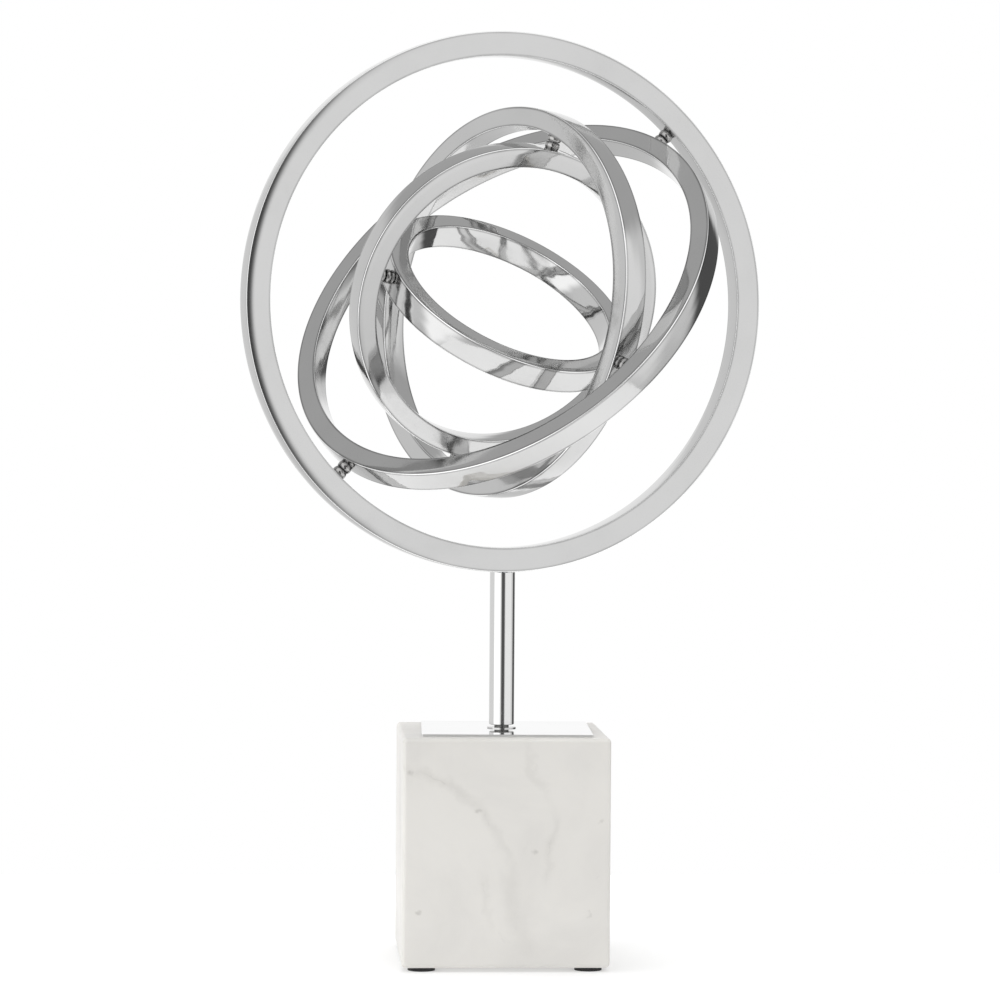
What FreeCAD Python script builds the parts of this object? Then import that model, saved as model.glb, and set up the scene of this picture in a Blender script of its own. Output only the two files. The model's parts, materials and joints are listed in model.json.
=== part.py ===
"""Armillary sphere: five nested square-section rings on a post and a stone block.

Millimetres, +Z up. The origin is at the middle of the foot pads' undersides, and the
block's faces lie along X and Y, with its front face towards -Y. The outer ring is fixed
to the post. Each ring inside it turns about a diameter of the ring around it, on two
pivots, and every pivot axis passes through the one common centre.
"""
import FreeCAD, Part
import math
import os

from FreeCAD import Placement, Rotation, Vector

os.makedirs("parts", exist_ok=True)

# Foot pads and stone block
PAD_DIAMETER = 13.5
PAD_HEIGHT = 2.0
PAD_INSET = 10.0                # pad centre from the block's side faces
BLOCK_WIDTH = 102.0
BLOCK_DEPTH = 102.0
BLOCK_HEIGHT = 112.6
BLOCK_EDGE_RADIUS = 2.0
BLOCK_HOLE_DIAMETER = 5.6
COUNTERBORE_DIAMETER = 24.0
COUNTERBORE_DEPTH = 14.0

# Mirror plate on the block, and the washer round the post's neck
PLATE_SIDE = 84.3
PLATE_THICKNESS = 1.2
PLATE_OFFSET = 2.0              # the plate sits slightly to the right on the block
PLATE_YAW = -2.0                # and slightly turned
PLATE_CORNER_RADIUS = 0.8
PLATE_HOLE_DIAMETER = 5.4
BASE_WASHER_DIAMETER = 14.5
BASE_WASHER_BORE = 7.4
BASE_WASHER_THICKNESS = 0.5

# Post
POST_DIAMETER = 12.7
POST_NECK_DIAMETER = 7.2
POST_NECK_LENGTH = 1.8
POST_EDGE_CHAMFER = 0.25
SPHERE_CENTRE_ABOVE_BLOCK = 214.2

# M5 tie rod and its nut and washers in the counterbore
ROD_DIAMETER = 5.0
ROD_REACH_IN_POST = 25.0
ROD_BEYOND_NUT = 1.0
LARGE_WASHER_DIAMETER = 15.0
LARGE_WASHER_THICKNESS = 1.2
SPRING_WASHER_DIAMETER = 9.2
SPRING_WASHER_THICKNESS = 1.2
SPRING_WASHER_SLOT = 1.0
WASHER_BORE = 5.3
NUT_SIDES = 6
NUT_ACROSS_FLATS = 8.0
NUT_HEIGHT = 4.7

# M5 stud between the post and the outer ring
STUD_REACH_IN_POST = 14.0
STUD_REACH_IN_RING = 8.0

# Rings, from the outermost inwards
RING_NAMES = ["outer_ring", "second_ring", "third_ring", "fourth_ring", "inner_ring"]
RING_OUTER_RADII = [135.0, 115.2, 98.1, 80.8, 65.0]
OUTER_RING_THICKNESS = 12.7     # across the section, along the radius
INNER_RINGS_THICKNESS = 10.5
RING_WIDTH = 13.0               # along the ring's own axis
RING_EDGE_RADIUS = 0.4

# Pose of the rings: the outer ring's turn from the block's front, the slope of its pivot
# axis from the horizontal, and each inner ring's turn about its pivot axis
OUTER_RING_YAW = 15.0
FIRST_PIVOT_SLOPE = 45.0
RING_TURNS = [-63.0, -35.5, -76.0, -70.0]

# Pivots: a pin pressed into the larger ring, running in a bush in the smaller one
PIN_DIAMETER = 3.0
PIN_REACH_IN_LARGER = 6.5
PIN_REACH_IN_SMALLER = 5.0
BUSH_REACH = 6.0                # the bush's sleeve, down its blind hole
BUSH_SLEEVE_DIAMETER = 4.6
COLLAR_DIAMETER = 7.4
PIN_CLEARANCE = 0.05            # on the radius
COLLAR_GAP = 0.3                # between the spacer's face and the bush's flange
RUNNING_BORE = PIN_DIAMETER + 2 * PIN_CLEARANCE

X_AXIS = Vector(1, 0, 0)
Y_AXIS = Vector(0, 1, 0)
Z_AXIS = Vector(0, 0, 1)
FULL_TURN = 360.0
QUARTER_TURN = 90.0
SEAM_ANGLE = 45.0               # keeps a ring's seam clear of its pivot holes
CUT_OVERRUN = 1.0               # how far a drilled hole or untrimmed collar passes a ring's surface
TOLERANCE = 1e-6

BLOCK_TOP = PAD_HEIGHT + BLOCK_HEIGHT
PLATE_TOP = BLOCK_TOP + PLATE_THICKNESS
SPHERE_CENTRE = Vector(0, 0, BLOCK_TOP + SPHERE_CENTRE_ABOVE_BLOCK)
COUNTERBORE_ROOF = PAD_HEIGHT + COUNTERBORE_DEPTH


def save(name, shape):
    """Write one piece, and stop if it isn't a single sound solid."""
    if not shape.isValid() or len(shape.Solids) != 1:
        raise RuntimeError(name + " is not one valid solid")
    shape.exportStep("parts/" + name + ".step")


def cylinder(diameter, low, high, direction=Z_AXIS):
    """A round bar about the origin's axis, from one distance along it to another."""
    return Part.makeCylinder(diameter / 2, high - low, direction * low, direction)


def tube(outer, bore, low, high, direction=Z_AXIS):
    """A round bar with a through bore."""
    return cylinder(outer, low, high, direction).cut(cylinder(bore, low, high, direction))


def ring_thickness(index):
    """How thick a ring is along its radius."""
    return OUTER_RING_THICKNESS if index == 0 else INNER_RINGS_THICKNESS


def ring_bore_radius(index):
    """A ring's inner radius."""
    return RING_OUTER_RADII[index] - ring_thickness(index)


def foot_pads():
    """Four round pads under the block's corners."""
    reach_x = BLOCK_WIDTH / 2 - PAD_INSET
    reach_y = BLOCK_DEPTH / 2 - PAD_INSET
    for depth_name, side_y in (("front", -1), ("back", 1)):
        for width_name, side_x in (("left", -1), ("right", 1)):
            pad = cylinder(PAD_DIAMETER, 0, PAD_HEIGHT)
            pad.translate(Vector(side_x * reach_x, side_y * reach_y, 0))
            save("foot_pad_" + depth_name + "_" + width_name, pad)


def marble_block():
    """The block, with a rod hole and a counterbore under it for the nut."""
    corner = Vector(-BLOCK_WIDTH / 2, -BLOCK_DEPTH / 2, PAD_HEIGHT)
    block = Part.makeBox(BLOCK_WIDTH, BLOCK_DEPTH, BLOCK_HEIGHT, corner)
    block = block.makeFillet(BLOCK_EDGE_RADIUS, block.Edges)
    block = block.cut(cylinder(BLOCK_HOLE_DIAMETER, 0, BLOCK_TOP))
    save("marble_base", block.cut(cylinder(COUNTERBORE_DIAMETER, 0, COUNTERBORE_ROOF)))


def top_plate():
    """The thin square mirror plate on the block, with its hole on the post's axis."""
    corner = Vector(PLATE_OFFSET - PLATE_SIDE / 2, -PLATE_SIDE / 2, BLOCK_TOP)
    plate = Part.makeBox(PLATE_SIDE, PLATE_SIDE, PLATE_THICKNESS, corner)
    upright = [edge for edge in plate.Edges if abs(edge.Length - PLATE_THICKNESS) < TOLERANCE]
    plate = plate.makeFillet(PLATE_CORNER_RADIUS, upright)
    plate.rotate(Vector(), Z_AXIS, PLATE_YAW)
    save("top_plate", plate.cut(cylinder(PLATE_HOLE_DIAMETER, BLOCK_TOP, PLATE_TOP)))


def post(ring_cylinder):
    """The post: a short neck on the plate, and a top cut to the outer ring's curve."""
    shoulder = PLATE_TOP + POST_NECK_LENGTH
    bar = cylinder(POST_DIAMETER, shoulder, SPHERE_CENTRE.z)
    lower_rim = [edge for edge in bar.Edges if abs(edge.CenterOfMass.z - shoulder) < TOLERANCE]
    bar = bar.makeChamfer(POST_EDGE_CHAMFER, lower_rim)
    bar = bar.fuse(cylinder(POST_NECK_DIAMETER, PLATE_TOP, shoulder)).cut(ring_cylinder)
    bar = bar.cut(cylinder(ROD_DIAMETER, PLATE_TOP, PLATE_TOP + ROD_REACH_IN_POST))
    return bar.cut(ring_stud()).removeSplitter()


def ring_stud():
    """The stud that holds the outer ring on the post."""
    ring_foot = SPHERE_CENTRE.z - RING_OUTER_RADII[0]
    return cylinder(ROD_DIAMETER, ring_foot - STUD_REACH_IN_POST, ring_foot + STUD_REACH_IN_RING)


def hexagon_nut(low, high):
    """A plain hexagon nut about the vertical axis."""
    corner_radius = NUT_ACROSS_FLATS / 2 / math.cos(math.pi / NUT_SIDES)
    corners = []
    for side in range(NUT_SIDES + 1):
        angle = 2 * math.pi * side / NUT_SIDES
        corners.append(Vector(corner_radius * math.cos(angle), corner_radius * math.sin(angle), low))
    prism = Part.Face(Part.makePolygon(corners)).extrude(Z_AXIS * (high - low))
    return prism.cut(cylinder(ROD_DIAMETER, low, high))


def tie_rod_and_fasteners():
    """The rod that clamps the post to the block, with its washers and nut."""
    save("base_washer", tube(BASE_WASHER_DIAMETER, BASE_WASHER_BORE,
                             PLATE_TOP, PLATE_TOP + BASE_WASHER_THICKNESS))
    washer_foot = COUNTERBORE_ROOF - LARGE_WASHER_THICKNESS
    spring_foot = washer_foot - SPRING_WASHER_THICKNESS
    nut_foot = spring_foot - NUT_HEIGHT
    save("large_washer", tube(LARGE_WASHER_DIAMETER, WASHER_BORE, washer_foot, COUNTERBORE_ROOF))
    slot = Part.makeBox(SPRING_WASHER_DIAMETER, SPRING_WASHER_SLOT, SPRING_WASHER_THICKNESS,
                        Vector(0, -SPRING_WASHER_SLOT / 2, spring_foot))
    spring = tube(SPRING_WASHER_DIAMETER, WASHER_BORE, spring_foot, washer_foot)
    save("spring_washer", spring.cut(slot))
    save("tie_rod_nut", hexagon_nut(nut_foot, spring_foot))
    rod = cylinder(ROD_DIAMETER, nut_foot - ROD_BEYOND_NUT, PLATE_TOP + ROD_REACH_IN_POST)
    save("tie_rod", rod)


def ring_blank(index):
    """A plain ring about the local Z axis, its four edges rounded."""
    outer = RING_OUTER_RADII[index]
    inner = ring_bore_radius(index)
    half = RING_WIDTH / 2
    edge = RING_EDGE_RADIUS
    ease = edge * (1 - math.sqrt(0.5))
    corners = [(outer, half, 1, 1), (inner, half, -1, 1), (inner, -half, -1, -1), (outer, -half, 1, -1)]
    ends = []
    for radius, height, side_r, side_z in corners:
        on_wall = Vector(radius, 0, height - side_z * edge)
        on_face = Vector(radius - side_r * edge, 0, height)
        middle = Vector(radius - side_r * ease, 0, height - side_z * ease)
        first, last = (on_wall, on_face) if side_r == side_z else (on_face, on_wall)
        ends.append((first, middle, last))
    outline = []
    for number, (first, middle, last) in enumerate(ends):
        outline.append(Part.Arc(first, middle, last).toShape())
        outline.append(Part.LineSegment(last, ends[(number + 1) % len(ends)][0]).toShape())
    blank = Part.Face(Part.Wire(outline)).revolve(Vector(), Z_AXIS, FULL_TURN)
    blank.rotate(Vector(), Z_AXIS, SEAM_ANGLE)
    return blank


def ring_rotations():
    """Each ring's orientation. Its local Z is its own axis, its local X the pivot that
    it hangs on, and its local Y the pivot that carries the next ring."""
    yaw = math.radians(OUTER_RING_YAW)
    slope = math.radians(FIRST_PIVOT_SLOPE)
    normal = Vector(math.sin(yaw), -math.cos(yaw), 0)
    pivot = Vector(math.cos(yaw) * math.cos(slope), math.sin(yaw) * math.cos(slope), math.sin(slope))
    rotations = [Rotation(pivot.cross(normal), pivot, normal, "ZYX")]
    for turn in RING_TURNS:
        turned = rotations[-1].multiply(Rotation(Y_AXIS, turn))
        rotations.append(turned.multiply(Rotation(Z_AXIS, QUARTER_TURN)))
    return rotations


def cut_ring(index):
    """A ring with the blind holes for its bushes, for its pins, or for the stud."""
    outer = RING_OUTER_RADII[index]
    inner = ring_bore_radius(index)
    ring = ring_blank(index)
    for side in (1, -1):
        if index > 0:
            bush_hole = cylinder(BUSH_SLEEVE_DIAMETER, outer - BUSH_REACH, outer + CUT_OVERRUN,
                                 X_AXIS * side)
            ring = ring.cut(bush_hole)
        if index < len(RING_NAMES) - 1:
            pin_hole = cylinder(PIN_DIAMETER, inner - CUT_OVERRUN, inner + PIN_REACH_IN_LARGER,
                                Y_AXIS * side)
            ring = ring.cut(pin_hole)
    return ring


def ring_disc(radius):
    """A solid disc in a ring's plane, to trim a collar to the ring's curve."""
    return Part.makeCylinder(radius, 2 * COLLAR_DIAMETER, Z_AXIS * -COLLAR_DIAMETER)


def collar_meeting(index):
    """How far from the centre a pivot's two collars meet, halfway between the rings."""
    return (ring_bore_radius(index) + RING_OUTER_RADII[index + 1]) / 2


def pivot_pin(index, direction):
    """The pin of one pivot between a ring and the next."""
    foot = RING_OUTER_RADII[index + 1] - PIN_REACH_IN_SMALLER
    return cylinder(PIN_DIAMETER, foot, ring_bore_radius(index) + PIN_REACH_IN_LARGER, direction)


def pivot_spacer(index, direction):
    """The collar on the pin, its outer end cut to the larger ring's bore."""
    bore = ring_bore_radius(index)
    foot = collar_meeting(index) + COLLAR_GAP / 2
    collar = tube(COLLAR_DIAMETER, PIN_DIAMETER, foot, bore + CUT_OVERRUN, direction)
    return collar.common(ring_disc(bore))


def pivot_bush(index, direction):
    """A flanged bush, its flange cut to the smaller ring's curve where it sits."""
    outer = RING_OUTER_RADII[index + 1]
    top = collar_meeting(index) - COLLAR_GAP / 2
    ring_body = ring_disc(outer)
    ring_body.rotate(Vector(), Y_AXIS, RING_TURNS[index])
    flange = cylinder(COLLAR_DIAMETER, outer - CUT_OVERRUN, top, direction).cut(ring_body)
    sleeve = cylinder(BUSH_SLEEVE_DIAMETER, outer - BUSH_REACH, outer, direction)
    bore = cylinder(RUNNING_BORE, outer - BUSH_REACH, top, direction)
    return flange.fuse(sleeve).cut(bore).removeSplitter()


def rings_and_pivots():
    """Place and write every ring, with the pivots between neighbours."""
    rotations = ring_rotations()
    for index, name in enumerate(RING_NAMES):
        place = Placement(SPHERE_CENTRE, rotations[index])
        ring = cut_ring(index)
        ring.Placement = place.multiply(ring.Placement)
        if index == 0:
            ring = ring.cut(ring_stud())
        save(name, ring)
        if index == len(RING_NAMES) - 1:
            continue
        axis = rotations[index].multVec(Y_AXIS)
        print("pivot", index + 1, "axis", [round(value, 9) for value in axis])
        for side_name, side in (("a", 1), ("b", -1)):
            makers = (("pin", pivot_pin), ("spacer", pivot_spacer), ("bush", pivot_bush))
            for piece_name, make in makers:
                piece = make(index, Y_AXIS * side)
                piece.Placement = place.multiply(piece.Placement)
                save("pivot_%d_%s_%s" % (index + 1, piece_name, side_name), piece)


def outer_ring_cylinder():
    """The solid cylinder inside the outer ring's rim, which shapes the post's top."""
    rotation = ring_rotations()[0]
    rim = Part.makeCylinder(RING_OUTER_RADII[0], 2 * RING_WIDTH, Z_AXIS * -RING_WIDTH)
    rim.Placement = Placement(SPHERE_CENTRE, rotation)
    return rim


foot_pads()
marble_block()
top_plate()
tie_rod_and_fasteners()
save("post", post(outer_ring_cylinder()))
save("ring_stud", ring_stud())
rings_and_pivots()
print("sphere centre", list(SPHERE_CENTRE))
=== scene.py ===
"""Looks of the armillary sphere: five polished rings, a post, a mirror plate and a marble block.

Metres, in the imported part's own frame. Places and sizes come from the frame: a ring's
centre, normal and radii are read off its CAD node, and the collars' from their own nodes.
"""

import json
import math

import bmesh
import bpy
import numpy as np
from mathutils import Matrix, Vector, noise


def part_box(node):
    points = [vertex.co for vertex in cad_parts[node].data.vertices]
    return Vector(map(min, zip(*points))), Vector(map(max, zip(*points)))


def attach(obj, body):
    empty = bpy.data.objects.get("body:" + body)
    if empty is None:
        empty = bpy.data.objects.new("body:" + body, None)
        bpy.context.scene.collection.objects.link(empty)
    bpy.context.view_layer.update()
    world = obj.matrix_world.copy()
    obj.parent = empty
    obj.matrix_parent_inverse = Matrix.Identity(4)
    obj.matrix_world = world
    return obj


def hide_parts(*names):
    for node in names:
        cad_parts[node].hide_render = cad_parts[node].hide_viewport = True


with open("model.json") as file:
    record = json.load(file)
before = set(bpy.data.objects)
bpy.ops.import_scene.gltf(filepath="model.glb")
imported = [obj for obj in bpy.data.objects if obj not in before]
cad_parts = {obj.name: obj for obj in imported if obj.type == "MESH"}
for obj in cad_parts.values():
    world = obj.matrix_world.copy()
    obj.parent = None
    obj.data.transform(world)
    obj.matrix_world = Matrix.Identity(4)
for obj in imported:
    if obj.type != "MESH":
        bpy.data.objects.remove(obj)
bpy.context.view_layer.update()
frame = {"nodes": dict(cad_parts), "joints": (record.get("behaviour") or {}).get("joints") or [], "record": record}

MM = 0.001
RINGS = ["outer_ring", "second_ring", "third_ring", "fourth_ring", "inner_ring"]
RING_BODIES = ["stand", "second_ring", "third_ring", "fourth_ring", "inner_ring"]

# Camera: where it stands, relative to the rings' common centre, and how it points
CAMERA_DISTANCE = 1.948
CAMERA_AZIMUTH = -3.38          # degrees from straight in front, to the object's left
CAMERA_BELOW_CENTRE = 0.0548
CAMERA_PITCH = -1.295
CAMERA_ROLL = 0.4
CAMERA_YAW = 0.045
FOCAL_LENGTH = 140.1            # on a 36 mm sensor

# Ring section: the edge radii, and how far in and how deep buffing has worn each side away
OUTSIDE_EDGE_RADIUS = 0.62 * MM
INSIDE_EDGE_RADIUS = 0.48 * MM
OUTER_RING_WEAR = (4.6 * MM, 0.46 * MM)
INNER_RING_WEAR = (3.4 * MM, 0.20 * MM)
FACE_WEAR_INSIDE = (1.6 * MM, 0.10 * MM)
WALL_WEAR = (5.2 * MM, 0.26 * MM)
WEAR_POWER = 1.7
WEAR_STATIONS = 10
CORNER_STEP = 15                # degrees between points round a corner
RING_STEPS = 360
RIPPLES = [(0.12 * MM, 70 * MM), (0.03 * MM, 24 * MM)]      # height and length of each

# Ring edges: a painted highlight along each rounded corner, and a line of painted shade beside it
PAINTED_SHADE_REACH = 1.1 * MM
PAINTED_EDGE_SHADE_COLOUR = (0.11, 0.11, 0.11, 1.0)
OUTER_RING_PAINTED_SHADE = 0.45
INNER_RINGS_PAINTED_SHADE = 0.75
# the collars are darkened towards both ends with painted shade
COLLAR_PAINTED_END_SHADE = 1.0
PAINTED_HIGHLIGHT_STRENGTH = 0.95
PAINTED_HIGHLIGHT_COLOUR = (0.97, 0.97, 0.97, 1.0)

# Collars: barrel-shaped, with eased ends
COLLAR_CROWN = 0.40 * MM        # how much thinner a collar is at its ends than in its middle
COLLAR_EASE = 0.30 * MM
COLLAR_SUNK = 0.40 * MM         # how far a collar's end runs into the ring it stands on
COLLAR_STEPS = 64

# Metals and stone
RING_COLOUR = (0.640, 0.640, 0.638, 1.0)
POST_COLOUR = (0.80, 0.80, 0.795, 1.0)
# the post's neck: a dark colour as painted shade under its shoulder, on the rough cut finish
NECK_PAINTED_SHADE_COLOUR = (0.22, 0.22, 0.215, 1.0)
COLLAR_COLOUR = (0.46, 0.455, 0.45, 1.0)
WASHER_COLOUR = (0.60, 0.60, 0.595, 1.0)
PLATE_COLOUR = (0.88, 0.88, 0.88, 1.0)
PLATE_EDGE_COLOUR = (0.78, 0.78, 0.775, 1.0)
PIN_COLOUR = (0.45, 0.45, 0.45, 1.0)
ZINC_COLOUR = (0.62, 0.64, 0.67, 1.0)
PIT_COLOUR = (0.35, 0.34, 0.33, 1.0)
CUT_ROUGHNESS = 0.38
NECK_HEIGHT = 1.8 * MM
MARBLE_LIGHT = (0.745, 0.730, 0.698, 1.0)
MARBLE_DARK = (0.689, 0.675, 0.648, 1.0)
VEIN_COLOUR = (0.30, 0.285, 0.26, 1.0)
FLECK_COLOUR = (0.42, 0.40, 0.37, 1.0)
VEIN_BEND = 0.022
VEIN_BLEND = 12 * MM            # how softly a vein turns from one straight stretch to the next

# Marble veins: points (x, z) in mm down the front face, the way the sheet runs back into
# the block, half width in mm, and strength
VEINS = [
    ([(-50, 103), (-11, 82), (1, 50)], (0.35, 1.0, 0.20), 1.4, 0.30),
    ([(6, 111), (24, 80), (22, 50)], (-0.25, 1.0, 0.30), 1.0, 0.22),
    ([(-14, 48), (-8, 26)], (0.10, 1.0, -0.40), 1.0, 0.24),
    ([(1, 46), (10, 12)], (-0.30, 1.0, 0.10), 2.4, 0.18),
    ([(72, 98), (57, 24)], (-0.50, 1.0, 0.12), 1.3, 0.28),
    ([(-70, 92), (-57, 20)], (0.45, 1.0, -0.15), 1.2, 0.26),
]
# Marble spots on the front face: x, z and radius in mm
SPOTS = [(-49, 101, 1.6), (-13, 79, 1.5), (14, 58, 1.5), (47, 73, 1.3), (39, 29, 1.3), (-41, 30, 1.0)]

# Studio: the surround's brightness, and the broad panels laid over it in turn. Each panel is
# azimuth (0 towards the front, positive to the right), half width, bottom and top, in degrees,
# and brightness. The softness is how far each panel's edge fades, also in degrees.
SURROUND_LEVEL = 0.8
PANEL_SOFTNESS = 5
PANELS = [
    (0, 200, 30, 100, 0.5),         # dim canopy
    (0, 70, 30, 100, 1.1),          # bright front of the canopy
    (0, 200, -100, -12, 0.7),       # ground beyond the table
    (-50, 30, -30, 30, 1.4),        # soft box, front left
    (5, 15, -30, 30, 0.1),          # dark side where the camera stands
    (55, 30, -30, 30, 1.0),         # white wall, front right
    (125, 20, -40, 30, 0.1),        # dark flag, back right
    (180, 20, -12, 30, 1.0),        # white backdrop behind the object
]

# Floor: a plain rectangular table top, centred under the object
FLOOR_WIDTH = 1.0
FLOOR_DEPTH = 0.7
FLOOR_GLOW = 0.38

# Lights for the stone, each aimed low on the block: name, place, side and power in watts
LIGHT_TARGET = (0, 0, 0.1)
LIGHTS = [("left", (-2.0, -0.35, 0.9), 1.2, 8.5), ("overhead", (0.0, 0.1, 1.9), 0.9, 21)]


# ---------------------------------------------------------------- mesh helpers

def new_object(name, vertices, faces):
    """A smooth-shaded mesh object from plain vertex and face lists."""
    mesh = bpy.data.meshes.new(name)
    mesh.from_pydata([tuple(v) for v in vertices], [], faces)
    mesh.validate()
    mesh.update()
    for polygon in mesh.polygons:
        polygon.use_smooth = True
    thing = bpy.data.objects.new(name, mesh)
    bpy.context.scene.collection.objects.link(thing)
    return thing


def node_points(node):
    """A CAD node's vertices at rest, as an array."""
    mesh = frame["nodes"][node].data
    points = np.empty(len(mesh.vertices) * 3)
    mesh.vertices.foreach_get("co", points)
    world = np.array(frame["nodes"][node].matrix_world)
    return points.reshape(-1, 3) @ world[:3, :3].T + world[:3, 3]


def measure_ring(node):
    """Centre, axis, outer radius, inner radius and half width of a ring, from its CAD node."""
    centre = np.array(frame["joints"][0]["pos_m"])
    points = node_points(node) - centre
    axis = np.linalg.eigh(points.T @ points)[1][:, 0]
    along = points @ axis
    radial = np.linalg.norm(points - np.outer(along, axis), axis=1)
    on_rim = radial[np.abs(along) < 0.9 * np.abs(along).max()]
    return centre, axis, on_rim.max(), on_rim.min(), np.abs(along).max()


def across(axis):
    """Two unit vectors at right angles to an axis and to each other."""
    axis = Vector(axis).normalized()
    first = axis.orthogonal().normalized()
    return np.array(first), np.array(axis.cross(first))


def worn_side(half_length, half_height, wear, edge):
    """Half of one side of a ring's section, from its middle to the start of the corner."""
    reach, depth = wear
    flat = half_length - edge
    stations = [0.0, (half_length - reach) / 2] + list(np.linspace(half_length - reach, flat, WEAR_STATIONS))
    side = []
    for station in stations:
        into_zone = max(0.0, 1 - (half_length - station) / reach)
        side.append((station, half_height - depth * into_zone ** WEAR_POWER))
    return side


def section_quarter(half_thickness, half_width, face_wear, edge):
    """A quarter of a ring's section: face middle, round the corner, to wall middle."""
    face = worn_side(half_thickness, half_width, face_wear, edge)
    wall = worn_side(half_width, half_thickness, WALL_WEAR, edge)
    corner_r, end_z = face[-1]
    corner_z, end_r = wall[-1]
    arc = []
    for degrees in range(90 - CORNER_STEP, 0, -CORNER_STEP):
        angle = math.radians(degrees)
        arc.append((corner_r + (end_r - corner_r) * math.cos(angle),
                    corner_z + (end_z - corner_z) * math.sin(angle)))
    return face + arc + [(out, along) for along, out in reversed(wall)]


def ring_section(half_thickness, half_width, wear_outside):
    """A closed section of (radial offset, axial offset) points with buffed-down sides."""
    outside = section_quarter(half_thickness, half_width, wear_outside, OUTSIDE_EDGE_RADIUS)
    inside = section_quarter(half_thickness, half_width, FACE_WEAR_INSIDE, INSIDE_EDGE_RADIUS)
    section = list(outside)
    section += [(r, -z) for r, z in reversed(outside)][1:]
    section += [(-r, -z) for r, z in inside][1:]
    section += [(-r, z) for r, z in reversed(inside)][1:-1]
    return section


def painted_edge_light(out, along, half_thickness, half_width):
    """1 on a section's rounded corner, for a painted highlight, down to -1 in the painted shade beside it, 0
    elsewhere.
    """
    edge = OUTSIDE_EDGE_RADIUS if out > 0 else INSIDE_EDGE_RADIUS
    distance = max(half_thickness - abs(out), half_width - abs(along))
    if distance < 0.98 * edge:
        return 1.0
    return -max(0.0, 1 - (distance - edge) / PAINTED_SHADE_REACH)


def ripple(place):
    """How far polishing has left the surface in or out at a point."""
    return sum(noise.noise(place / length) * height for height, length in RIPPLES)


def polished_ring(name, node):
    """A ring swept round its axis, with the slight waves that hand polishing leaves."""
    centre, axis, outer, inner, half_width = measure_ring(node)
    first, second = across(axis)
    middle = (outer + inner) / 2
    wear = OUTER_RING_WEAR if node == RINGS[0] else INNER_RING_WEAR
    spare = 1 - sum(height for height, length in RIPPLES) / half_width
    section = ring_section((outer - inner) / 2, half_width, wear)
    # painted highlight on each rounded corner, and painted shade in a line beside it, for the material
    painted_edge_marks = [painted_edge_light(r, z, (outer - inner) / 2, half_width) for r, z in section]
    section = [(r * spare, z * spare) for r, z in section]
    vertices = []
    for step in range(RING_STEPS):
        angle = 2 * math.pi * step / RING_STEPS
        radial = first * math.cos(angle) + second * math.sin(angle)
        for r, z in section:
            place = Vector(centre + radial * (middle + r) + axis * z)
            outward = Vector(radial * r + axis * z).normalized()
            vertices.append(place + outward * ripple(place))
    count = len(section)
    faces = []
    for step in range(RING_STEPS):
        here = step * count
        after = (step + 1) % RING_STEPS * count
        for index in range(count):
            beside = (index + 1) % count
            faces.append((here + index, here + beside, after + beside, after + index))
    thing = new_object(name, vertices, faces)
    fix_normals(thing)
    mark_edges(thing, painted_edge_marks, RING_STEPS)
    return thing


def mark_edges(thing, painted_edge_marks, steps):
    """Store each section point's edge mark on the mesh for the material: plus for painted highlight, minus for
    painted shade.
    """
    edge = thing.data.attributes.new("painted_edge_light", "FLOAT", "POINT")
    edge.data.foreach_set("value", painted_edge_marks * steps)


def fix_normals(thing):
    """Face normals outwards."""
    shape = bmesh.new()
    shape.from_mesh(thing.data)
    bmesh.ops.recalc_face_normals(shape, faces=shape.faces)
    shape.to_mesh(thing.data)
    shape.free()


def lathe(name, profile, start, axis, steps):
    """A turned solid: (radius, distance) pairs about an axis from a start point."""
    first, second = across(axis)
    start = np.array(start)
    axis = np.array(Vector(axis).normalized())
    vertices = []
    for step in range(steps):
        angle = 2 * math.pi * step / steps
        radial = first * math.cos(angle) + second * math.sin(angle)
        for radius, distance in profile:
            vertices.append(start + radial * radius + axis * distance)
    count = len(profile)
    faces = []
    for step in range(steps):
        here = step * count
        after = (step + 1) % steps * count
        for index in range(count - 1):
            faces.append((here + index, after + index, after + index + 1, here + index + 1))
    faces.append([step * count for step in reversed(range(steps))])
    faces.append([step * count + count - 1 for step in range(steps)])
    thing = new_object(name, vertices, faces)
    fix_normals(thing)
    return thing


# ---------------------------------------------------------------- materials

class Tree:
    """A node tree with short ways to add and join nodes."""

    def __init__(self, tree):
        self.tree = tree

    def add(self, kind, **settings):
        node = self.tree.nodes.new(kind)
        for key, value in settings.items():
            setattr(node, key, value)
        return node

    def join(self, source, target):
        self.tree.links.new(source, target)

    def feed(self, socket, value):
        """Link a socket, or set its value."""
        if hasattr(value, "is_linked"):
            self.join(value, socket)
        else:
            socket.default_value = value

    def math(self, operation, first, second=0.0):
        node = self.add("ShaderNodeMath", operation=operation)
        self.feed(node.inputs[0], first)
        self.feed(node.inputs[1], second)
        return node.outputs[0]

    def span(self, value, low, high, out_low=0.0, out_high=1.0):
        """A smooth step from one value to another as the input goes from low to high."""
        node = self.add("ShaderNodeMapRange", interpolation_type="SMOOTHSTEP")
        self.join(value, node.inputs["Value"])
        for key, number in (("From Min", low), ("From Max", high), ("To Min", out_low), ("To Max", out_high)):
            node.inputs[key].default_value = number
        return node.outputs["Result"]


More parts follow.
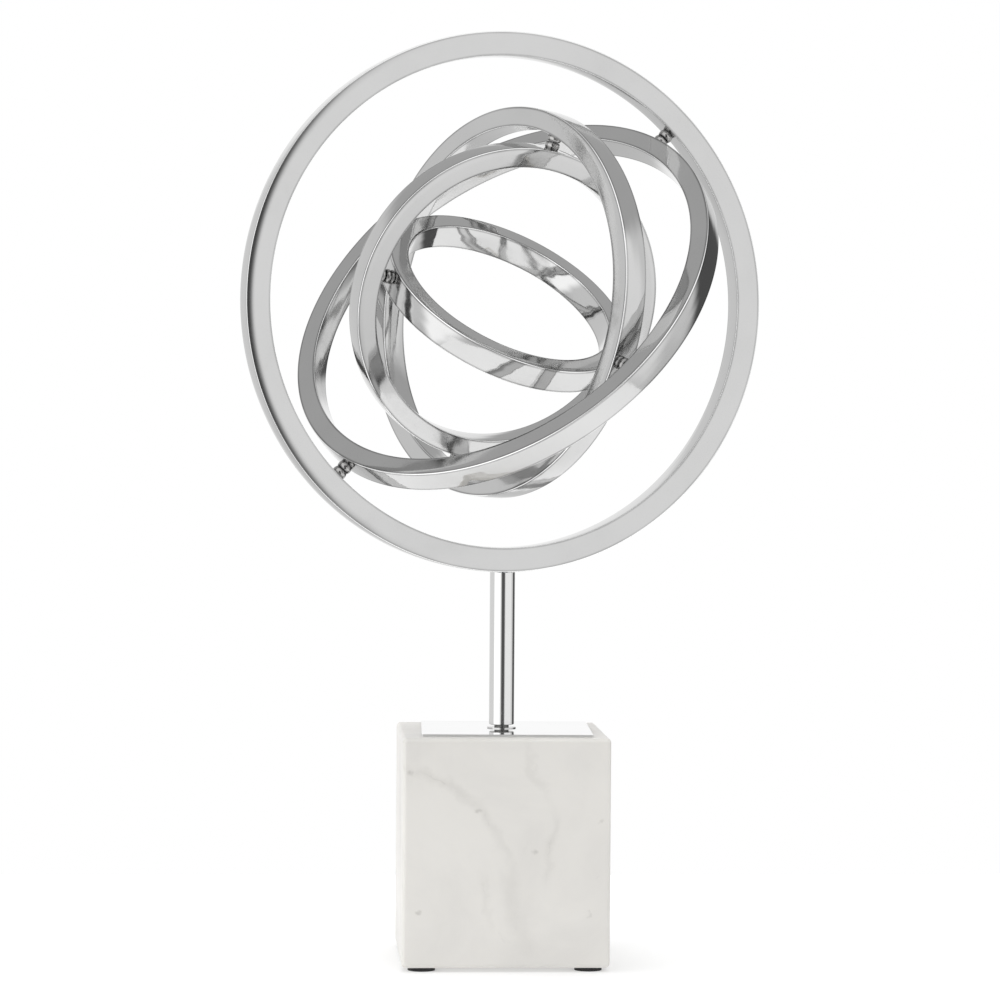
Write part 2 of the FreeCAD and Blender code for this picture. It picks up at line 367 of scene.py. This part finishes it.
class Nodes(Tree):
    """A new material's node tree, with the nodes that materials use."""

    def __init__(self, name):
        self.material = bpy.data.materials.new(name)
        self.material.use_nodes = True
        super().__init__(self.material.node_tree)
        self.shader = self.tree.nodes["Principled BSDF"]

    def place(self):
        return self.add("ShaderNodeTexCoord").outputs["Object"]

    def noise(self, scale, detail=2.0, roughness=0.5, distortion=0.0, vector=None):
        node = self.add("ShaderNodeTexNoise")
        node.inputs["Scale"].default_value = scale
        node.inputs["Detail"].default_value = detail
        node.inputs["Roughness"].default_value = roughness
        node.inputs["Distortion"].default_value = distortion
        self.join(vector or self.place(), node.inputs["Vector"])
        return node.outputs["Fac"]

    def dot(self, vector, direction):
        node = self.add("ShaderNodeVectorMath", operation="DOT_PRODUCT")
        self.join(vector, node.inputs[0])
        node.inputs[1].default_value = direction
        return node.outputs["Value"]

    def mix(self, amount, first, second):
        node = self.add("ShaderNodeMix", data_type="RGBA")
        self.feed(node.inputs[0], amount)
        self.feed(node.inputs[6], first)
        self.feed(node.inputs[7], second)
        return node.outputs[2]

    def bump(self, height, strength, distance, below=None):
        node = self.add("ShaderNodeBump")
        node.inputs["Strength"].default_value = strength
        node.inputs["Distance"].default_value = distance
        self.join(height, node.inputs["Height"])
        if below is not None:
            self.join(below, node.inputs["Normal"])
        return node.outputs["Normal"]


def polished_metal(name, colour, roughness, wave_strength, wear=0.12, cut=None, cut_colour_and_painted_shade=None,
                   painted_shade_strength=None):
    """Hand-polished bright metal: faint waves, hairline buffing marks and dull handled patches.

    Where the cut mask is 1 the metal is left as the tool cut it, rough and in the cut colour; on the post's neck
    that colour is darkened as painted shade under the shoulder.
    With a painted shade strength, the mesh's edge marks paint shade in a line beside its edges and a highlight on
    its rounded corners.
    """
    n = Nodes(name)
    patches = n.noise(28.0, detail=4.0, roughness=0.6)
    hairlines = n.noise(900.0, detail=3.0, roughness=0.7, distortion=0.4)
    specks = n.noise(2600.0, detail=1.0)
    handled = n.math("MULTIPLY", n.span(patches, 0.45, 0.75), wear)
    fine = n.math("MULTIPLY", n.span(hairlines, 0.52, 0.75), wear * 0.5)
    finish = n.math("ADD", n.math("ADD", handled, fine), roughness)
    tone = n.mix(n.span(patches, 0.3, 0.8), colour, tuple(c * 0.96 for c in colour[:3]) + (1.0,))
    pits = n.span(specks, 0.74, 0.82)
    surface = n.mix(n.math("MULTIPLY", pits, 0.25), tone, PIT_COLOUR)
    # painted shade in a line beside the edges, then a painted highlight on the rounded corners
    if painted_shade_strength is not None:
        edge = n.add("ShaderNodeAttribute", attribute_name="painted_edge_light").outputs["Fac"]
        painted_shade_mask = n.math("MULTIPLY", n.span(edge, -1.0, 0.0, painted_shade_strength, 0.0),
                        n.span(patches, 0.35, 0.6, 0.6, 1.0))
        surface = n.mix(painted_shade_mask, surface, PAINTED_EDGE_SHADE_COLOUR)
        surface = n.mix(n.span(edge, 0.0, 1.0, 0.0, PAINTED_HIGHLIGHT_STRENGTH), surface, PAINTED_HIGHLIGHT_COLOUR)
    if cut is not None:
        mask = cut(n)
        finish = n.math("ADD", finish, n.math("MULTIPLY", mask, CUT_ROUGHNESS))
        surface = n.mix(mask, surface, cut_colour_and_painted_shade)
    n.join(finish, n.shader.inputs["Roughness"])
    n.join(surface, n.shader.inputs["Base Color"])
    waves = n.bump(n.noise(75.0, detail=1.0), wave_strength, 0.00012)
    n.join(n.bump(hairlines, 0.06, 0.00002, below=waves), n.shader.inputs["Normal"])
    n.shader.inputs["Metallic"].default_value = 1.0
    return n.material


def below_shoulder(n):
    """Mask of the post's turned neck, under its shoulder, where painted shade darkens it."""
    split = n.add("ShaderNodeSeparateXYZ")
    n.join(n.place(), split.inputs[0])
    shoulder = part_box("post")[0][2] + NECK_HEIGHT
    return n.span(split.outputs[2], shoulder - 0.05 * MM, shoulder + 0.05 * MM, 1.0, 0.0)


def cut_edge(n):
    """Mask of a flat plate's sheared edge."""
    split = n.add("ShaderNodeSeparateXYZ")
    n.join(n.add("ShaderNodeTexCoord").outputs["Normal"], split.inputs[0])
    return n.span(n.math("ABSOLUTE", split.outputs[2]), 0.3, 0.8, 1.0, 0.0)


def sheet_plane(start, end, lean):
    """The plane through two points (x, z) of the block's front face that runs back along a lean."""
    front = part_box("marble_base")[0][1]
    start = Vector((start[0] * MM, front, start[1] * MM))
    end = Vector((end[0] * MM, front, end[1] * MM))
    normal = (end - start).cross(Vector(lean)).normalized()
    if normal.x < 0:
        normal = -normal
    return normal, normal.dot(start)


def vein(n, bent, place, points, lean, width, strength):
    """One vein as a mask: a soft band with a broken darker core, fading out at its ends."""
    distance = None
    for start, end in zip(points, points[1:]):
        normal, offset = sheet_plane(start, end, lean)
        side = n.math("SUBTRACT", n.dot(bent, normal), offset)
        if distance is None:
            distance = side
        else:
            joined = n.add("ShaderNodeMath", operation="SMOOTH_MAX")
            n.join(distance, joined.inputs[0])
            n.join(side, joined.inputs[1])
            joined.inputs[2].default_value = VEIN_BLEND
            distance = joined.outputs[0]
    away = n.math("ABSOLUTE", distance)
    band = n.span(away, 0.0, 3.2 * width * MM, 0.50, 0.0)
    core = n.math("MULTIPLY", n.span(away, 0.0, 0.9 * width * MM, 0.9, 0.0),
                  n.span(n.noise(90.0, detail=3.0, vector=place), 0.46, 0.62))
    split = n.add("ShaderNodeSeparateXYZ")
    n.join(place, split.inputs[0])
    low = points[-1][1] * MM
    high = points[0][1] * MM
    ends = n.math("MULTIPLY", n.span(split.outputs[2], low - 0.010, low + 0.004),
                  n.span(split.outputs[2], high - 0.002, high + 0.012, 1.0, 0.0))
    return n.math("MULTIPLY", n.math("MULTIPLY", n.math("MAXIMUM", band, core), ends), strength)


def marble():
    """White marble: cloudy ground, a few wandering grey-brown veins and small grey spots."""
    n = Nodes("white_marble")
    place = n.place()
    wander = n.add("ShaderNodeTexNoise")
    wander.inputs["Scale"].default_value = 45.0
    wander.inputs["Detail"].default_value = 5.0
    wander.inputs["Roughness"].default_value = 0.6
    n.join(place, wander.inputs["Vector"])
    centred = n.add("ShaderNodeVectorMath", operation="SUBTRACT")
    n.join(wander.outputs["Color"], centred.inputs[0])
    centred.inputs[1].default_value = (0.5, 0.5, 0.5)
    bend = n.add("ShaderNodeVectorMath", operation="MULTIPLY_ADD")
    n.join(centred.outputs[0], bend.inputs[0])
    bend.inputs[1].default_value = (VEIN_BEND, VEIN_BEND, VEIN_BEND)
    n.join(place, bend.inputs[2])
    bent = bend.outputs[0]
    clouds = n.noise(16.0, detail=6.0, roughness=0.6, distortion=0.6)
    ground = n.mix(n.span(clouds, 0.35, 0.72), MARBLE_LIGHT, MARBLE_DARK)
    fade = n.span(n.noise(42.0, detail=4.0, roughness=0.6), 0.30, 0.62, 0.15, 1.0)
    marks = None
    for points, lean, width, strength in VEINS:
        line = vein(n, bent, place, points, lean, width, strength)
        marks = line if marks is None else n.math("MAXIMUM", marks, line)
    marks = n.math("MULTIPLY", marks, fade)
    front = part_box("marble_base")[0][1]
    for x, z, radius in SPOTS:
        gap = n.add("ShaderNodeVectorMath", operation="DISTANCE")
        n.join(bent, gap.inputs[0])
        gap.inputs[1].default_value = (x * MM, front, z * MM)
        blot = n.span(gap.outputs["Value"], 0.2 * radius * MM, 2.0 * radius * MM, 0.38, 0.0)
        marks = n.math("MAXIMUM", marks, blot)
    veined = n.mix(marks, ground, VEIN_COLOUR)
    flecks = n.math("MULTIPLY", n.span(n.noise(60.0, detail=3.0, distortion=1.0), 0.68, 0.80), 0.25)
    n.join(n.mix(flecks, veined, FLECK_COLOUR), n.shader.inputs["Base Color"])
    grain = n.noise(700.0, detail=3.0)
    n.join(n.span(grain, 0.3, 0.7, 0.34, 0.46), n.shader.inputs["Roughness"])
    swell = n.bump(n.noise(55.0, detail=2.0), 0.10, 0.0002)
    n.join(n.bump(grain, 0.05, 0.00004, below=swell), n.shader.inputs["Normal"])
    n.shader.inputs["Subsurface Weight"].default_value = 0.12
    n.shader.inputs["Subsurface Radius"].default_value = (0.004, 0.0038, 0.0035)
    n.shader.inputs["Subsurface Scale"].default_value = 1.0
    return n.material


def rubber():
    """Dark moulded rubber with fine stipple and a little dust."""
    n = Nodes("dark_rubber")
    stipple = n.noise(1400.0, detail=2.0)
    dust = n.noise(120.0, detail=4.0, roughness=0.65)
    n.join(n.mix(n.span(dust, 0.5, 0.8), (0.016, 0.016, 0.017, 1.0), (0.055, 0.053, 0.05, 1.0)),
           n.shader.inputs["Base Color"])
    n.join(n.span(stipple, 0.3, 0.7, 0.55, 0.8), n.shader.inputs["Roughness"])
    n.join(n.bump(stipple, 0.4, 0.00008), n.shader.inputs["Normal"])
    return n.material


def dress(thing, material, body, stands_for):
    """Give a piece its material, the body it rides on and the CAD nodes it stands for."""
    thing.data.materials.clear()
    thing.data.materials.append(material)
    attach(thing, body)
    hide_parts(*stands_for)


def repaint(node, material):
    """A CAD node keeps its shape and takes a better material."""
    for holder in frame["nodes"][node].material_slots:
        holder.material = material


# ---------------------------------------------------------------- studio

def studio_world():
    """A soft surround with a few broad panels in it. The camera itself sees plain white."""
    world = bpy.data.worlds.new("studio")
    bpy.context.scene.world = world
    world.use_nodes = True
    world.node_tree.nodes.clear()
    t = Tree(world.node_tree)

    def rise(value, edge):
        return t.span(value, edge - PANEL_SOFTNESS, edge + PANEL_SOFTNESS)

    def fall(value, edge):
        return t.span(value, edge - PANEL_SOFTNESS, edge + PANEL_SOFTNESS, 1.0, 0.0)

    def lay_over(below, mask, level):
        node = t.add("ShaderNodeMix", data_type="FLOAT")
        t.feed(node.inputs[0], mask)
        t.feed(node.inputs[2], below)
        t.feed(node.inputs[3], level)
        return node.outputs[0]

    split = t.add("ShaderNodeSeparateXYZ")
    t.join(t.add("ShaderNodeTexCoord").outputs["Generated"], split.inputs[0])
    x, y, z = split.outputs
    azimuth = t.math("MULTIPLY", t.math("ARCTAN2", x, t.math("MULTIPLY", y, -1.0)), 180 / math.pi)
    elevation = t.math("MULTIPLY", t.math("ARCSINE", z), 180 / math.pi)
    light = SURROUND_LEVEL
    for centre, half_width, bottom, top, level in PANELS:
        aside = t.math("PINGPONG", t.math("SUBTRACT", azimuth, centre), 180.0)
        mask = t.math("MULTIPLY", fall(aside, half_width),
                      t.math("MULTIPLY", rise(elevation, bottom), fall(elevation, top)))
        light = lay_over(light, mask, level)
    seen = lay_over(light, t.add("ShaderNodeLightPath").outputs["Is Camera Ray"], 1.0)
    glow = t.add("ShaderNodeBackground")
    t.join(seen, glow.inputs["Strength"])
    glow.inputs["Color"].default_value = (1.0, 1.0, 1.0, 1.0)
    t.join(glow.outputs[0], t.add("ShaderNodeOutputWorld").inputs[0])


def floor():
    """A plain pale floor that glows faintly, so that it reads as white."""
    x, y = FLOOR_WIDTH / 2, FLOOR_DEPTH / 2
    mesh = bpy.data.meshes.new("floor")
    mesh.from_pydata([(-x, -y, 0), (x, -y, 0), (x, y, 0), (-x, y, 0)], [], [(0, 1, 2, 3)])
    thing = bpy.data.objects.new("floor", mesh)
    bpy.context.scene.collection.objects.link(thing)
    n = Nodes("pale_floor")
    tone = n.noise(6.0, detail=3.0)
    n.join(n.mix(tone, (0.60, 0.60, 0.60, 1.0), (0.62, 0.62, 0.62, 1.0)), n.shader.inputs["Base Color"])
    n.shader.inputs["Roughness"].default_value = 0.7
    n.shader.inputs["Specular IOR Level"].default_value = 0.2
    n.shader.inputs["Emission Color"].default_value = (1.0, 1.0, 1.0, 1.0)
    n.shader.inputs["Emission Strength"].default_value = FLOOR_GLOW
    mesh.materials.append(n.material)


def area_light(name, place, side, power):
    """A soft square light for the stone. The metal mirrors the studio alone."""
    data = bpy.data.lights.new(name, "AREA")
    data.shape = "SQUARE"
    data.size = side
    data.energy = power
    light = bpy.data.objects.new(name, data)
    bpy.context.scene.collection.objects.link(light)
    light.location = place
    light.rotation_mode = "QUATERNION"
    light.rotation_quaternion = (Vector(LIGHT_TARGET) - Vector(place)).to_track_quat("-Z", "Y")
    light.visible_camera = False
    light.visible_glossy = False


def camera(centre):
    """The camera, nearly level and a little to the left of straight in front."""
    azimuth = math.radians(CAMERA_AZIMUTH)
    place = Vector(centre) + Vector((math.sin(azimuth) * CAMERA_DISTANCE,
                                     -math.cos(azimuth) * CAMERA_DISTANCE, -CAMERA_BELOW_CENTRE))
    data = bpy.data.cameras.new("camera")
    data.lens = FOCAL_LENGTH
    data.sensor_width = 36.0
    data.clip_start = 0.05
    data.clip_end = 60.0
    thing = bpy.data.objects.new("camera", data)
    bpy.context.scene.collection.objects.link(thing)
    heading = Matrix.Rotation(azimuth + math.radians(CAMERA_YAW), 4, "Z")
    tilt = Matrix.Rotation(math.radians(90 + CAMERA_PITCH), 4, "X")
    roll = Matrix.Rotation(math.radians(CAMERA_ROLL), 4, "Z")
    thing.matrix_world = Matrix.Translation(place) @ heading @ tilt @ roll
    bpy.context.scene.camera = thing


# ---------------------------------------------------------------- the object

def collar(node, body, material):
    """A turned collar with eased edges, in place of a spacer or a bush."""
    points = node_points(node)
    centre = np.array(frame["joints"][0]["pos_m"])
    joint = frame["joints"][int(node.split("_")[1]) - 1]
    axis = np.array(joint["axis"])
    along = (points - centre) @ axis
    if along.mean() < 0:
        axis = -axis
        along = -along
    radial = np.linalg.norm(points - centre - np.outer(along, axis), axis=1)
    radius = radial.max()
    rim = along[radial > 0.98 * radius]
    low, high = rim.min(), rim.max()
    length = high - low
    ease = COLLAR_EASE
    end = radius - COLLAR_CROWN
    profile = [(radius * 0.5, 0), (end - ease, 0), (end - ease * 0.3, ease * 0.3)]
    for share in np.linspace(-1, 1, 9):
        profile.append((radius - COLLAR_CROWN * share ** 2, length / 2 + (length / 2 - ease) * share))
    profile += [(end - ease * 0.3, length - ease * 0.3), (end - ease, length), (radius * 0.5, length)]
    if "bush" in node:
        profile = [(r, d - COLLAR_SUNK if d < ease else d) for r, d in profile]
    else:
        profile = [(r, d + COLLAR_SUNK if d > length - ease else d) for r, d in profile]
    thing = lathe(node + "_turned", profile, centre + axis * low, axis, COLLAR_STEPS)
    # painted shade: each collar darkens towards both ends
    mark_edges(thing, [-abs(2 * d / length - 1) ** 1.5 for r, d in profile], COLLAR_STEPS)
    dress(thing, material, body, [node])


def build_object():
    # the rings' metals paint a highlight on each rounded corner and a line of shade beside it
    outer_metal = polished_metal("outer_ring_metal", RING_COLOUR, 0.06, 0.10, painted_shade_strength=OUTER_RING_PAINTED_SHADE)
    inner_metal = polished_metal("inner_ring_metal", RING_COLOUR, 0.06, 0.10, painted_shade_strength=INNER_RINGS_PAINTED_SHADE)
    # the post's neck is darkened under its shoulder with painted shade
    post_metal = polished_metal("polished_post_metal", POST_COLOUR, 0.05, 0.03,
                                cut=below_shoulder, cut_colour_and_painted_shade=NECK_PAINTED_SHADE_COLOUR)
    # the collars' metal darkens them towards both ends with painted shade
    collar_metal = polished_metal("turned_collar_metal", COLLAR_COLOUR, 0.05, 0.01, wear=0.05,
                                  painted_shade_strength=COLLAR_PAINTED_END_SHADE)
    washer_metal = polished_metal("washer_metal", WASHER_COLOUR, 0.12, 0.05)
    plate_metal = polished_metal("mirror_plate_metal", PLATE_COLOUR, 0.02, 0.01, wear=0.04,
                                 cut=cut_edge, cut_colour_and_painted_shade=PLATE_EDGE_COLOUR)
    pin_metal = polished_metal("ground_pin_metal", PIN_COLOUR, 0.25, 0.02)
    zinc = polished_metal("zinc_plating", ZINC_COLOUR, 0.28, 0.05, wear=0.2)
    stone = marble()
    dark = rubber()
    for node, body in zip(RINGS, RING_BODIES):
        ring = polished_ring(node + "_polished", node)
        dress(ring, outer_metal if node == RINGS[0] else inner_metal, body, [node])
    body_of = {node: body for body, nodes in frame["record"]["behaviour"]["bodies"].items() for node in nodes}
    for node in frame["nodes"]:
        if "_spacer_" in node or "_bush_" in node:
            collar(node, body_of[node], collar_metal)
        elif "_pin_" in node:
            repaint(node, pin_metal)
        elif node.startswith("foot_pad"):
            repaint(node, dark)
        elif node in ("tie_rod", "tie_rod_nut", "large_washer", "spring_washer", "ring_stud"):
            repaint(node, zinc)
    repaint("post", post_metal)
    repaint("base_washer", washer_metal)
    repaint("top_plate", plate_metal)
    repaint("marble_base", stone)


build_object()
studio_world()
floor()
for light_name, light_place, light_side, light_power in LIGHTS:
    area_light(light_name, light_place, light_side, light_power)
camera(frame["joints"][0]["pos_m"])
bpy.context.scene.view_settings.view_transform = "Standard"
